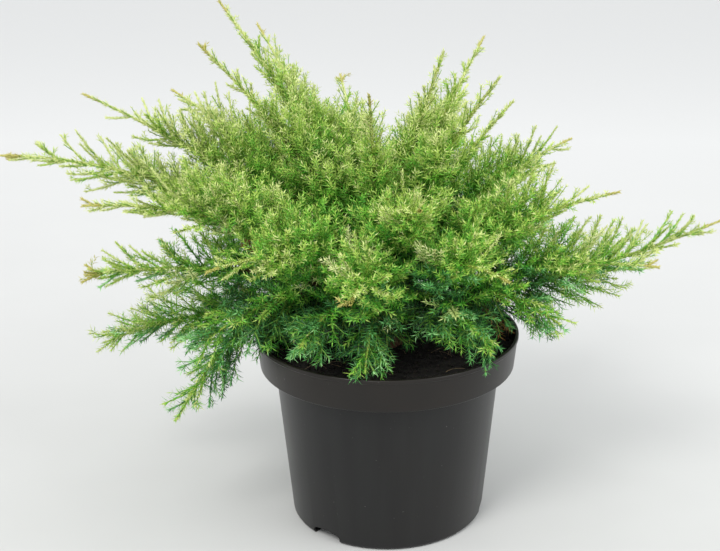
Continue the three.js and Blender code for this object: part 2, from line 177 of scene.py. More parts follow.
# Finer growth, which carries the rule on within the same reach. Pairs go from a host's root to its tip.
# Shoots stand between the shares span of a host. They are at most as long as length, bent by power, and as
# the share reach of the host beyond them and least more. They vary between the shares vary, and slim is
# their share where growth is slimmest.
FINE_SEED = 20117
FILL = Order(
    spacing=2.4, span=(0.02, 0.97), fork=(60, 30), fork_stray=7, turn_stray=25, rise=(0.34, 0.06),
    length=(92, 18), power=0.7, reach=0.46, least=8, vary=(0.55, 1.1), steps=6, radii=(0.95, 0.4),
)
SPRAY = Order(
    spacing=7.4, span=(0.12, 0.94), fork=(52, 36), fork_stray=8, turn_stray=32, rise=(0.28, 0.12),
    rise_stray=0.1, length=(32, 32), power=1, reach=0.62, least=6, vary=(0.65, 1.1), slim=0.6, steps=3,
    radii=(0.55, 0.3),
)
TWIGLET = Order(
    spacing=9.5, span=(0.1, 0.96), fork=(48, 34), fork_stray=8, turn_stray=38, rise=(0.125, 0.125),
    rise_stray=0.125, length=(12, 6), power=1, reach=0, least=12, vary=(0.7, 1.25), slim=0.5, steps=2,
    radii=(0.4, 0.2),
)
STEM_STEPS = 26
TWIG_TAPER_POWER = 0.8
YOUNG_FROM = 0.5  # share of a stem from which its bark is young
FILL_FIRST = 0.1  # share of its bare length from which a bough carries fill twigs
FILL_FIRST_TURN = 50
FILL_LOW_MORE = 18  # more length in full shade
FILL_LOW_LESS = 0.6  # share of that lost at the limb's tip
FILL_TRIMMED = (0.05, 0.4)  # shares of a steep limb between which they get shorter
FILL_TRIMS = (1, 0.8, 0.62, 0.46, 0.33, 0.22)  # shares of a length tried in turn
FILL_THINNED = 0.86  # share left out at a limb's tip
LOTS_TESTED = 60  # parts that are tested one after another
STEM_SPRAYS_THINNED = (0.25, 0.3)  # shares left out where growth is slimmest, and in full shade
TWIG_SPRAYS_THINNED = (0.65, 0.3)
TWIGLETS_THINNED = (0, 0.95)
SLIM_FORK = 9  # degrees off a fork where growth is slimmest
RISE_MORE = 0.32  # more rise inside the lit crown
SHADE_DROOP = 0.36  # less rise in full shade over the pot
SHADE_FLAT = 0.5  # how much flatter needles lie in full shade
SWAY = 0.035  # how far a shoot strays from its heading
SKIN_DEPTH = 110  # length of side growth that brings a shoot out to the crown's skin
SHADE_HEIGHTS = (190, 268)  # full shade, and no shade
SLIM_OUT = (0.5, 0.86)  # how far out growth starts to be slim, and is slimmest
SHADE_FULLER = 0.7  # how much less slim it is in full shade

# Needles in whorls of three, with spreads in degrees at a shoot's root and at its tip. The whorls of each
# order have their spacing, the first's share, and the share left out where growth is slimmest.
WHORLS = ((2.5, 0.02, 0.35), (2.6, 0.05, 0.35), (2.4, 0.06, 0.3), (2.2, 0.1, 0))
LIT_SPREAD = (56, 40)
SHADE_SPREAD = (66, 52)
SLIM_SPREAD = (52, 36)
NEEDLE_STRAY = (4, 12)  # degrees by which a spread strays inside the crown, and where growth is slim
NEEDLE_TURN_STRAY = 6
NEEDLE_LENGTH = (6.4, 8.4)  # in light and in shade
NEEDLE_VARY = (0.86, 1.1)
SLIM_NEEDLE = 0.76  # length where growth is slimmest, as a share
NEEDLE_TAPER = 0.74  # length of the needles at a shoot's tip, as a share
NEEDLE_WIDTH = (0.88, 0.95)  # inside the crown, and where growth is slim
SHADE_THINNER = 0.02  # how much thinner they are in full shade
WIDEST = 0.38  # share of a needle's length where it is widest
FOLD = 0.28  # how far its edges stand over its middle, as a share of its width

# Short leaves pressed along young bark, in whorls too.
SCALE_SPACING = 1.7
SCALE_SPREAD = (10, 26)
SCALE_TURN_STRAY = 20
SCALE_LENGTH = (2.72, 4.08)
SCALE_WIDTH = (1.19, 1.61)
SCALE_SUNK = 0.8  # share of the bark's radius at which they stand
SCALES_FULL = 0.5  # slimness from which they clothe the bark fully

# Where the tones and the rarer hues fall. A tone goes from 0, painted shade, to 1, painted light, and at
# shoot tips it also takes in the young growth's own lighter colour.
FAR_OUT = (95, 215)  # distances up to which growth is over the pot, and from which it is far out
TONE_LEAST = 0.09
TONE_HIGH = 0.5  # painted light, more high up
TONE_HEIGHTS = (150, 380)  # darkest, and lightest
TONE_OUT = 0.2  # painted light, more at a limb's tip
TONE_OUT_FROM = 0.15
TONE_FAR = (0.07, 0.29)  # painted light, more far out: high up, and low down
TONE_TIP = (0.2, 0.3)  # more at a shoot's own tip, likewise; this is the young growth's own colour and painted light
TONE_PLAY = (0.065, 0.095)  # play from shoot to shoot, likewise
TONE_NEEDLE_PLAY = (0.045, 0.095)  # play from needle to needle, likewise
TONE_MOST = 0.999
SPRAY_PLAY = 0.6  # a spray's own play, as a share of its twig's
BLUE_MOST = 0.8  # chance of blue in full shade over the pot
BLUE_FAR = 0.35  # that chance far out from it, as a share
PALE_SHARE = 0.035  # of the twigs in front whose tips are at these heights
PALE_FRONT = 40
PALE_HEIGHTS = (200, 330)
RUST_SHARE = 0.013  # of the twigs that leave a limb's inner half, up to this height
RUST_OUT = 0.5
RUST_HEIGHT = 300
TAN_SHARE = 0.75  # of the limbs whose tips are over this height, from this far out
TAN_HEIGHT = 225
TAN_OUT = 0.94


def mix(start, end, share):
    return start + (end - start) * share


def unit(vectors):
    return vectors / np.linalg.norm(vectors, axis=-1, keepdims=True)


def smooth(low, high, value):
    """From 0 at low to 1 at high, levelling off at both ends."""
    share = np.clip((value - low) / (high - low), 0, 1)
    return share * share * (3 - 2 * share)


def polar(azimuth, radius, height):
    angle = math.radians(azimuth)
    return np.array([radius * math.cos(angle), radius * math.sin(angle), height])


def linear(red, green, blue):
    """A colour given as a screen shows it, from 0 to 255, as the shader takes it."""
    shares = np.array([red, green, blue]) / 255
    return (*np.where(shares <= 0.04045, shares / 12.92, ((shares + 0.055) / 1.055) ** 2.4), 1.0)


# The plant's lines, by the source's rule.
def trunk_centre(height):
    bow = ((np.asarray(height) - PEAT_LEVEL) / (TRUNK_TOP - PEAT_LEVEL)) ** 2
    return np.stack([TRUNK_LEAN[0] * bow, TRUNK_LEAN[1] * bow, np.asarray(height) + 0 * bow], axis=-1)


class Limb:
    """One limb: a curve from the trunk to a tip, bare up to bare_share and leafy from there on."""

    def __init__(self, index, name, azimuth, out, height, arch):
        self.index = index
        self.name = name
        self.leafy = name in LEAFY
        foot = trunk_centre(mix(FIRST_FOOT, LAST_FOOT, index / (len(LIMBS) - 1)))
        tip = polar(azimuth, out, height)
        self.controls = (foot, (foot + tip) / 2 + UP * arch, tip)
        self.line = self.point(np.linspace(0, 1, LIMB_STEPS + 1))
        self.length = np.linalg.norm(np.diff(self.line, axis=0), axis=1).sum()
        size = np.clip((self.length - LIMB_LENGTH[0]) / (LIMB_LENGTH[1] - LIMB_LENGTH[0]), 0, 1)
        self.thick = mix(*FOOT_RADIUS, size)
        climb = (tip[2] - foot[2]) / np.linalg.norm(tip - foot)
        self.twig_trim = mix(1, UPRIGHT_TRIM, smooth(*UPRIGHT, climb))
        self.bare_share = (TRUNK_CLEARANCE if self.leafy else BARE_LENGTH) / self.length

    def point(self, t):
        foot, crest, tip = self.controls
        t = np.asarray(t, float)[..., None]
        return (1 - t) ** 2 * foot + 2 * (1 - t) * t * crest + t**2 * tip

    def tangent(self, t):
        foot, crest, tip = self.controls
        t = np.asarray(t, float)[..., None]
        return unit((1 - t) * (crest - foot) + t * (tip - crest))

    def radius(self, t):
        return mix(TIP_RADIUS, self.thick, (1 - np.asarray(t)) ** TAPER_POWER)


limbs = [Limb(index, *entry) for index, entry in enumerate(LIMBS)]
limb_lines = np.array([limb.line for limb in limbs])
twig_trims = np.array([limb.twig_trim for limb in limbs])


def distances(points):
    """How far each point lies from each limb's line."""
    starts = limb_lines[:, :-1]
    runs = np.diff(limb_lines, axis=1)
    offset = points[:, None, None] - starts
    share = np.clip((offset * runs).sum(-1) / (runs * runs).sum(-1), 0, 1)
    return np.linalg.norm(offset - runs * share[..., None], axis=-1).min(-1)


def clear_of_pot(points):
    out = np.hypot(points[..., 0], points[..., 1])
    height = points[..., 2]
    over_peat = (out < RIM_RADIUS - RIM_CLEARANCE) & (height > PEAT_LEVEL + GAP)
    return over_peat | (height > POT_HEIGHT + GAP) | (out > RIM_RADIUS + RIM_CLEARANCE)


def clear_of_trunk(points):
    centre = trunk_centre(points[..., 2])
    away = np.hypot(points[..., 0] - centre[..., 0], points[..., 1] - centre[..., 1])
    return (points[..., 2] > TRUNK_TOP + GAP) | (away > TRUNK_CLEARANCE)


def in_own_space(limb, points):
    """Whether each point is nearer to its own limb than to any other, and clear of pot and trunk."""
    away = distances(points)
    rows = np.arange(len(points))
    own = away[rows, limb] + SPACE_MARGIN
    away[rows, limb] = np.inf
    return (own < away.min(1)) & clear_of_pot(points) & clear_of_trunk(points)


def outward(along, turn, flat=1):
    """The way out from a stem, turned around it from straight over it, and flattened to its sides."""
    side = unit(np.cross(along, UP))
    over = np.cross(side, along)
    return unit(over * (flat * np.cos(turn))[..., None] + side * np.sin(turn)[..., None])


def leaning(along, out, angle):
    """A direction at an angle from a stem's, towards the way out."""
    return along * np.cos(angle)[..., None] + out * np.sin(angle)[..., None]


def curve(root, heading, length, shares):
    """Points at shares of a twig of the source, which turns up a little."""
    return root + heading * length * shares + UP * TURN_UP * length * shares**2


def source_ring_points(root, heading, length):
    """The corners of the source's solid twig there, which have to be in the limb's space."""
    whorls = max(2, math.floor(length * (1 - TWIG_BARE) / WHORL_SPACING + 0.5))
    pitch = (1 - TWIG_BARE) / whorls
    stations = [(0, 0, TWIG_RADIUS)]
    for i in range(whorls):
        share = TWIG_BARE + pitch * i
        tooth = min(share + pitch * NEEDLE_FORWARD, 1 - pitch * POINT_LENGTH)
        turn = math.radians(WHORL_TURN * i)
        stations.append((share, turn, mix(TWIG_RADIUS, TIP_RADIUS, share)))
        stations.append((tooth, turn, mix(TWIG_RADIUS, TIP_RADIUS, tooth) + mix(*NEEDLE_REACH, tooth)))
    stations.append((1, 0, 0))
    shares = np.array([share for share, _, _ in stations])[:, None]
    centres = curve(root, heading, length, shares)
    points = []
    across = None
    for i, (_, turn, radius) in enumerate(stations):
        along = unit(centres[min(i + 1, len(centres) - 1)] - centres[max(i - 1, 0)])
        if across is None:
            across = np.cross(along, UP)
        across = unit(across - along * (across @ along))
        angles = turn + np.radians([0, 120, 240])[:, None]
        other = np.cross(along, across)
        points.append(centres[i] + radius * (across * np.cos(angles) + other * np.sin(angles)))
    return np.concatenate(points)


def draws_for(index):
    """The source's own stream of seeded numbers for one limb."""
    state = SEED * (index + 1)
    while True:
        state = state * DRAW_FACTOR % DRAW_MODULUS
        yield state / DRAW_MODULUS


def source_twigs(limb):
    """The side twigs of the source's mass: where on the limb each leaves, its heading and its length."""
    draws = draws_for(limb.index)

    def jitter(size):
        return size * (2 * next(draws) - 1)

    stem_length = limb.length * (1 - limb.bare_share)
    count = math.floor(stem_length * (TWIG_LAST - TWIG_FIRST) / TWIG_SPACING + 0.5)
    twigs = []
    for i in range(count):
        share = mix(TWIG_FIRST, TWIG_LAST, (i + 0.5 + jitter(TWIG_STRAY)) / count)
        turn = TURN_DEGREES * i + jitter(TURN_JITTER)
        fork = math.radians(mix(*FORK_DEGREES, share) + jitter(FORK_JITTER))
        longest = min(stem_length * TWIG_SHARE * (1 - share), TWIG_LONGEST)
        full = longest * limb.twig_trim * (1 + jitter(LENGTH_JITTER))
        t = mix(limb.bare_share, 1, share)
        tries = [(trim, math.radians(turn + more)) for trim in TRIM_STEPS for more in TURNS_TRIED]
        for trim, angle in tries:
            length = full * trim * (1 - FLATTEN * abs(math.cos(angle)))
            if length < TWIG_LEAST:
                continue
            along = limb.tangent(t)
            heading = leaning(along, outward(along, np.array(angle)), np.array(fork))
            points = source_ring_points(limb.point(t), heading, length)
            if in_own_space(limb.index, points).all():
                twigs.append((t, heading, length))
                break
    return twigs


# Shoots: many lines of one order, grown together.
@dataclass
class Shoots:
    """Shoots as lines of points from root to tip, with what their needles' form and colours go by."""

    lines: np.ndarray
    foot: np.ndarray  # radius at the root
    tip: np.ndarray  # radius at the tip
    limb: np.ndarray  # index of the limb that each grows on
    start: np.ndarray  # how far out in the crown its root lies, from 0 at the trunk to 1
    end: np.ndarray  # how far out its tip lies, 1 at a limb's tip
    hue: np.ndarray  # family of colours, a place in HUES
    glow: np.ndarray  # how much lighter or darker than its neighbours

    @property
    def length(self):
        return np.linalg.norm(np.diff(self.lines, axis=1), axis=2).sum(1)

    def where(self, kept):
        return Shoots(*(values[kept] for values in vars(self).values()))

    def out_at(self, which, share):
        return mix(self.start[which], self.end[which], share)


def together(*groups):
    return Shoots(*map(np.concatenate, zip(*(vars(group).values() for group in groups))))


def first_shoots(lines, foot, tip, limb, start, end):
    """Shoots without a hue or a glow of their own yet."""
    none = np.zeros(len(lines))
    return Shoots(lines, none + foot, none + tip, limb, start, none + end, none.astype(int), none)


def places_on(lines, which, share):
    """Points and headings at shares of the named lines."""
    last = lines.shape[1] - 1
    low = np.minimum((share * last).astype(int), last - 1)
    start = lines[which, low]
    run = lines[which, low + 1] - start
    return start + run * (share * last - low)[:, None], unit(run)


def spaced(lengths, spacing, first, last):
    """Places along each line about a spacing apart: the line's number, the place's rank and its share."""
    counts = np.maximum(np.round((last - first) * lengths / spacing).astype(int), 1)
    which = np.repeat(np.arange(len(lengths)), counts)
    rank = np.arange(counts.sum()) - np.repeat(np.cumsum(counts) - counts, counts)
    return which, rank, first + (last - first) * (rank + 0.5) / counts[which]


def out_to(start, length):
    """How far out in the crown the tip of a shoot lies."""
    return start + (1 - start) * np.minimum(length / SKIN_DEPTH, 1)


def sprout(hosts, order, which, share, fork, turn, length, rise, draw):
    """Shoots that leave their hosts at a share, each curving up by a rise and a little to one side."""
    root, along = places_on(hosts.lines, which, share)
    heading = leaning(along, outward(along, turn), fork)
    shares = np.linspace(0, 1, order.steps + 1)[None, :, None]
    ahead = length[:, None, None] * shares
    sway = draw.normal(0, SWAY, (len(which), 1, 3))
    lines = root[:, None] + heading[:, None] * ahead + (UP * rise[:, None, None] + sway) * ahead * shares
    foot, tip = (np.full(len(which), radius) for radius in order.radii)
    start = hosts.out_at(which, share)
    end = out_to(start, length)
    return Shoots(lines, foot, tip, hosts.limb[which], start, end, hosts.hue[which], hosts.glow[which])


def shade_of(points):
    """How shaded a place in the crown is, from 0 high up to 1 low down."""
    return 1 - smooth(*SHADE_HEIGHTS, points[..., 2])


def near_pot(points):
    """From 1 over the pot to 0 far out from it."""
    return 1 - smooth(*FAR_OUT, np.hypot(points[..., 0], points[..., 1]))


def slim_of(points, out):
    """How slim growth is, from 0 inside the crown to 1 at a lit limb's tip, and less in the shade."""
    return smooth(*SLIM_OUT, out) * (1 - SHADE_FULLER * shade_of(points))


def stems(bare=1):
    """The limbs' own leafy stems, from a share of the bare length on."""
    starts = np.array([limb.bare_share * bare for limb in limbs])
    lines = [limb.point(np.linspace(start, 1, STEM_STEPS + 1)) for limb, start in zip(limbs, starts)]
    foot = [limb.radius(start) for limb, start in zip(limbs, starts)]
    return first_shoots(np.array(lines), foot, TIP_RADIUS, np.arange(len(limbs)), starts, 1)


def main_twigs():
    """The source's side twigs, each on its own root, heading and length."""
    shares = np.linspace(0, 1, FILL.steps + 1)[:, None]
    twigs = [(limb, *twig) for limb in limbs for twig in source_twigs(limb)]
    lines = np.array([curve(limb.point(t), heading, length, shares) for limb, t, heading, length in twigs])
    index = np.array([limb.index for limb, *_ in twigs])
    start = np.array([t for _, t, *_ in twigs])
    end = out_to(start, np.linalg.norm(lines[:, -1] - lines[:, 0], axis=1))
    return first_shoots(lines, *FILL.radii, index, start, end)


def growth_at(hosts, which, share):
    """The points at shares of the hosts, with how slim and how shaded growth is there."""
    root = places_on(hosts.lines, which, share)[0]
    return root, slim_of(root, hosts.out_at(which, share)), shade_of(root)


def thin_out(hosts, places, most, draw):
    """The places left when a share of them, up to most, goes where growth is slim."""
    which, _, share = places
    kept = draw.uniform(0, 1, len(which)) > most * growth_at(hosts, which, share)[1]
    return [values[kept] for values in places]


def longest(hosts, order, which, share):
    """The most that shoots may measure at places on their hosts."""
    beyond = hosts.length[which] * (1 - share)
    return np.minimum(mix(*order.length, share**order.power), order.reach * beyond + order.least)


def rise_of(order, root, share, slim, shade):
    """How much shoots turn up: most inside the lit crown, and least in the shade over the pot."""
    lit_more = RISE_MORE * (1 - shade) * (1 - slim)
    return mix(*order.rise, share) + lit_more - SHADE_DROOP * shade * near_pot(root)


def stray(size, count, draw):
    """Random values up to a size to either side of zero."""
    return draw.uniform(-size, size, count)


def fill_twigs(hosts, draw):
    """Shorter side twigs between the source's, each as long as fits in its limb's space."""
    places = spaced(hosts.length, FILL.spacing, *FILL.span)
    which, rank, share = thin_out(hosts, places, FILL_THINNED, draw)
    root, slim, shade = growth_at(hosts, which, share)
    count = len(which)
    most = longest(hosts, FILL, which, share) + FILL_LOW_MORE * shade * (1 - FILL_LOW_LESS * share)
    trim = mix(1, twig_trims[hosts.limb[which]] ** 2, smooth(*FILL_TRIMMED, share))
    length = most * trim * draw.uniform(*FILL.vary, count)
    turn = np.radians(TURN_DEGREES * rank + FILL_FIRST_TURN + stray(FILL.turn_stray, count, draw))
    fork = np.radians(mix(*FILL.fork, share) + stray(FILL.fork_stray, count, draw))
    rise = rise_of(FILL, root, share, slim, shade)
    found = []
    left = np.ones(count, bool)
    for cut in FILL_TRIMS:
        twigs = sprout(hosts, FILL, which, share, fork, turn, length * cut, rise, draw)
        tests = twigs.lines[:, 2:].reshape(-1, 3)
        limb = np.repeat(twigs.limb, FILL.steps - 1)
        lots = zip(np.array_split(limb, LOTS_TESTED), np.array_split(tests, LOTS_TESTED))
        inside = np.concatenate([in_own_space(*lot) for lot in lots])
        fits = inside.reshape(count, -1).all(1) & left
        left &= ~fits
        found.append(twigs.where(fits))
    return together(*found)


def side_shoots(hosts, order, thinned, draw):
    """Short shoots along both sides of their hosts, clear of pot and trunk. Twiglets rise in any light."""
    which, rank, share = spaced(hosts.length, order.spacing, *order.span)
    root, slim, shade = growth_at(hosts, which, share)
    count = len(which)
    turn = np.radians(np.where(rank % 2 == 0, 90, -90) + stray(order.turn_stray, count, draw))
    fork = np.radians(mix(*order.fork, share) - SLIM_FORK * slim + stray(order.fork_stray, count, draw))
    most = longest(hosts, order, which, share)
    length = most * draw.uniform(*order.vary, count) * mix(1, order.slim, slim)
    rise = rise_of(order, root, share, slim, 0 if order is TWIGLET else shade)
    rise = rise + stray(order.rise_stray, count, draw)
    made = sprout(hosts, order, which, share, fork, turn, length, rise, draw)
    kept = draw.uniform(0, 1, count) > thinned[0] * slim + thinned[1] * shade
    points = made.lines[:, 1:]
    return made.where(kept & (clear_of_pot(points) & clear_of_trunk(points)).all(1))


# Hues of needles, each in levels from painted shade to painted light, as a screen shows them.
HUES = {
    "green": [(5, 32, 4), (21, 80, 16), (76, 159, 45), (131, 196, 68), (180, 209, 98), (212, 222, 148)],
    "blue": [(7, 36, 12), (38, 98, 42), (92, 164, 86), (158, 212, 140)],
    "pale": [(156, 190, 100), (200, 216, 136), (226, 232, 170)],
    "tan": [(140, 174, 66), (176, 190, 82), (196, 190, 108)],
    "rust": [(98, 64, 30), (150, 106, 52)],
}
GREEN, BLUE, PALE, TAN, RUST = range(len(HUES))


def deal_hues(twigs, draw):
    """Each twig's hue by its place, and its own glow, which its side shoots take on."""
    tip = twigs.lines[:, -1]
    count = len(tip)
    chance = draw.uniform(0, 1, count)
    blue = BLUE_MOST * shade_of(tip) * mix(BLUE_FAR, 1, near_pot(tip))
    twigs.hue = np.where(chance < blue, BLUE, GREEN)
    in_front = (tip[:, 1] < -PALE_FRONT) & (tip[:, 2] > PALE_HEIGHTS[0]) & (tip[:, 2] < PALE_HEIGHTS[1])
    twigs.hue[in_front & (draw.uniform(0, 1, count) < PALE_SHARE)] = PALE
    inside = (twigs.start < RUST_OUT) & (tip[:, 2] < RUST_HEIGHT)
    twigs.hue[inside & (draw.uniform(0, 1, count) < RUST_SHARE)] = RUST
    twigs.glow = draw.normal(0, 1, count)


# Meshes from arrays of points.
def add_object(name, data):
    made = bpy.data.objects.new(name, data)
    bpy.context.scene.collection.objects.link(made)
    return made


def mesh_piece(name, points, faces, material, replaced, smooth_faces=False):
    """One joined piece, which rides on the plant's body and stands for the named solids."""
    mesh = bpy.data.meshes.new(name)
    mesh.vertices.add(len(points))
    mesh.vertices.foreach_set("co", (np.asarray(points) * MM).astype(np.float32).ravel())
    mesh.loops.add(faces.size)
    mesh.loops.foreach_set("vertex_index", faces.astype(np.int32).ravel())
    mesh.polygons.add(len(faces))
    mesh.polygons.foreach_set("loop_start", np.arange(len(faces), dtype=np.int32) * faces.shape[1])
    mesh.polygons.foreach_set("use_smooth", np.full(len(faces), smooth_faces))
    mesh.update(calc_edges=True)
    mesh.materials.append(material)
    made = add_object(name, mesh)
    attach(made, "root")
    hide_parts(*replaced)


def ring_faces(count, sides):
    """Four-cornered faces between rings of points that follow one another."""
    low = np.repeat(np.arange(count - 1) * sides, sides)
    corner = np.tile(np.arange(sides), count - 1)
    after = (corner + 1) % sides
    return np.stack([low + corner, low + after, low + sides + after, low + sides + corner], axis=1)


def for_each(faces, count, points):
    """The faces of a count of like shapes, which have so many points each."""
    return (faces[None] + points * np.arange(count)[:, None, None]).reshape(-1, faces.shape[1])


def tube_skins(lines, radii, sides):
    """Tubes around lines, open at their ends: points and four-cornered faces."""
    count, steps = lines.shape[:2]
    along = unit(np.gradient(lines, axis=1))
    side = np.cross(along[:, 0], UP)
    angles = np.linspace(0, 2 * np.pi, sides, endpoint=False)
    rings = np.empty((count, steps, sides, 3))
    for i in range(steps):
        side = unit(side - along[:, i] * (side * along[:, i]).sum(1, keepdims=True))
        other = np.cross(along[:, i], side)
        for k, angle in enumerate(angles):
            out = side * math.cos(angle) + other * math.sin(angle)
            rings[:, i, k] = lines[:, i] + out * radii[:, i, None]
    return rings.reshape(-1, 3), for_each(ring_faces(steps, sides), count, steps * sides)


def needle_kites(root, heading, facing, length, width):
    """Folded kites with a point at each end: points and three-cornered faces."""
    across = np.cross(heading, facing) * (width / 2)[:, None]
    middle = root + heading * (length * WIDEST)[:, None] + facing * (width * FOLD)[:, None]
    points = np.stack([root, middle - across, root + heading * length[:, None], middle + across], axis=1)
    return points.reshape(-1, 3), for_each(np.array([[0, 1, 2], [0, 2, 3]]), len(root), 4)


def whorls(places, turn_stray, flat, root, along, angle, length, width):
    """Leaves in whorls of three, with the shoot that each is on and its place there.

    A leaf has a root, a heading, a facing, a length and a width. All but flat and along come from functions,
    which draw anew for each leaf of a whorl, and the root goes by the way out.
    """
    which, rank, share = places
    parts = []
    for number in range(3):
        turn = np.radians(120 * number + WHORL_TURN * (rank % 2) + turn_stray())
        out = outward(along, turn, flat)
        lean = np.radians(angle())
        headings = leaning(along, out, lean), leaning(-out, along, lean)
        parts.append((root(out), *headings, length(), width(), which, share))
    return [np.concatenate(column) for column in zip(*parts)]


def needles_on(shoots, spacing, first, bare, draw):
    """Whorls of needles along shoots."""
    places = thin_out(shoots, spaced(shoots.length, spacing, first, 1), bare, draw)
    which, _, share = places
    root, slim, shade = growth_at(shoots, which, share)
    count = len(which)
    lit_or_shaded = mix(mix(*LIT_SPREAD, share), mix(*SHADE_SPREAD, share), shade)
    spread = mix(lit_or_shaded, mix(*SLIM_SPREAD, share), slim)
    most = mix(*NEEDLE_LENGTH, shade) * mix(1, NEEDLE_TAPER, share) * mix(1, SLIM_NEEDLE, slim)
    return whorls(
        places, lambda: stray(NEEDLE_TURN_STRAY, count, draw), 1 - SHADE_FLAT * shade,
        lambda out: root, places_on(shoots.lines, which, share)[1],
        lambda: spread + mix(*NEEDLE_STRAY, slim) * stray(1, count, draw),
        lambda: most * draw.uniform(*NEEDLE_VARY, count),
        lambda: mix(*NEEDLE_WIDTH, slim) * (1 - SHADE_THINNER * shade),
    )


def scales_on(shoots, draw):
    """Whorls of short leaves pressed along the young bark, where growth is slim."""
    places = spaced(shoots.length, SCALE_SPACING, 0, 1)
    kept = draw.uniform(0, SCALES_FULL, len(places[0])) < growth_at(shoots, places[0], places[2])[1]
    places = which, _, share = [values[kept] for values in places]
    root, along = places_on(shoots.lines, which, share)
    radius = mix(shoots.foot[which], shoots.tip[which], share**TWIG_TAPER_POWER)[:, None]
    count = len(which)
    return whorls(
        places, lambda: stray(SCALE_TURN_STRAY, count, draw), 1,
        lambda out: root + out * radius * SCALE_SUNK, along,
        lambda: draw.uniform(*SCALE_SPREAD, count),
        lambda: draw.uniform(*SCALE_LENGTH, count),
        lambda: draw.uniform(*SCALE_WIDTH, count),
    )


def tones(shoots, which, share, root, draw):
    """The tone of each needle, from 0, painted shade, to 1, painted light."""
    high = smooth(*TONE_HEIGHTS, root[:, 2])
    low = 1 - high
    far = 1 - near_pot(root)
    out = smooth(TONE_OUT_FROM, 1, shoots.out_at(which, share))
    light = TONE_LEAST + TONE_HIGH * high + TONE_OUT * out + mix(*TONE_FAR, low) * far
    light = light + mix(*TONE_TIP, low) * share + mix(*TONE_PLAY, low) * shoots.glow[which]
    light = light + mix(*TONE_NEEDLE_PLAY, low) * draw.normal(0, 1, len(which))
    return np.clip(light, 0, TONE_MOST)


def hues_of(shoots, which, share, tan_limbs):
    """The hue of each needle: that of its shoot, but tan at the tips of some limbs."""
    hue = shoots.hue[which]
    is_tan = tan_limbs[shoots.limb[which]] & (shoots.out_at(which, share) > TAN_OUT) & (hue == GREEN)
    return np.where(is_tan, TAN, hue)


# Nodes and materials.
def add_node(tree, kind, inputs=None, **settings):
    made = tree.nodes.new(kind)
    for name, value in settings.items():
        setattr(made, name, value)
    for name, value in (inputs or {}).items():
        if isinstance(value, bpy.types.NodeSocket):
            tree.links.new(value, made.inputs[name])
        else:
            made.inputs[name].default_value = value
    return made


def new_material(name, **sockets):
    """A material whose one shader has these fixed values."""
    made = bpy.data.materials.new(name)
    made.use_nodes = True
    shader = made.node_tree.nodes["Principled BSDF"]
    for socket, value in sockets.items():
        shader.inputs[socket.replace("_", " ")].default_value = value
    return made, made.node_tree, shader


def add_bump(tree, shader, height, strength, distance):
    bump = add_node(tree, "ShaderNodeBump", {"Strength": strength, "Distance": distance, "Height": height})
    tree.links.new(bump.outputs["Normal"], shader.inputs["Normal"])


def noise_at(tree, scale, stretch=(1, 1, 1), detail=4, roughness=0.55):
    """A noise over the object's own space, stretched along its axes."""
    place = add_node(tree, "ShaderNodeTexCoord").outputs["Object"]
    mapped = add_node(tree, "ShaderNodeMapping", {"Vector": place, "Scale": stretch}).outputs["Vector"]
    inputs = {"Vector": mapped, "Scale": scale, "Detail": detail, "Roughness": roughness}
    return add_node(tree, "ShaderNodeTexNoise", inputs).outputs["Fac"]


def measure_along(tree, axis):
    """A place's measure along one of the object's own axes, in metres."""
    place = add_node(tree, "ShaderNodeTexCoord").outputs["Object"]
    return add_node(tree, "ShaderNodeSeparateXYZ", {"Vector": place}).outputs[axis]


def ranged(tree, value, start, end=(0, 1)):
    """A value carried over from one range to another."""
    inputs = {"Value": value, "From Min": start[0], "From Max": start[1], "To Min": end[0], "To Max": end[1]}
    return add_node(tree, "ShaderNodeMapRange", inputs).outputs["Result"]


def colour_ramp(tree, value, stops):
    """Colours at places from 0 to 1."""
    made = add_node(tree, "ShaderNodeValToRGB", {"Fac": value})
    elements = made.color_ramp.elements
    while len(elements) < len(stops):
        elements.new(0.5)
    for element, (place, colour) in zip(elements, stops):
        element.position = place
        element.color = linear(*colour)
    return made.outputs["Color"]


def mixed(tree, share, first, second):
    """A colour that goes from the first to the second by a share."""
    inputs = {0: share, 6: first, 7: second}
    return add_node(tree, "ShaderNodeMix", inputs, data_type="RGBA", blend_type="MIX").outputs[2]


REFLECTION_EDGES = (0.136, 0.142)  # heights in metres between which the painted reflection, a brownish cast, grows strong on the collar


def plastic_material():
    """Satin black plastic with faint upright flow marks, a painted reflection that casts it brownish, most
    on the collar, and dust.
    """
    made, tree, shader = new_material("pot_plastic", Roughness=0.38, Specular_IOR_Level=0.34)
    flow = noise_at(tree, 60, (1, 1, 0.06), 3)
    cast = noise_at(tree, 9, detail=2)
    black = colour_ramp(tree, flow, [(0.3, (22, 23, 25)), (0.7, (29, 31, 32))])
    # Painted reflection: a brownish cast, faint on the body and strong on the collar.
    reflected_brown = colour_ramp(tree, cast, [(0.3, (24, 22, 20)), (0.7, (33, 27, 22))])
    collar = ranged(tree, measure_along(tree, "Z"), REFLECTION_EDGES, (0.3, 0.95))
    speck = ranged(tree, noise_at(tree, 420, detail=2, roughness=0.4), (0.75, 0.83))
    dusted = mixed(tree, speck, mixed(tree, collar, black, reflected_brown), linear(100, 98, 94))
    tree.links.new(dusted, shader.inputs["Base Color"])
    tree.links.new(ranged(tree, flow, (0, 1), (0.28, 0.4)), shader.inputs["Roughness"])
    add_bump(tree, shader, noise_at(tree, 900, (1, 1, 0.4), 3), 0.06, 0.0006)
    return made


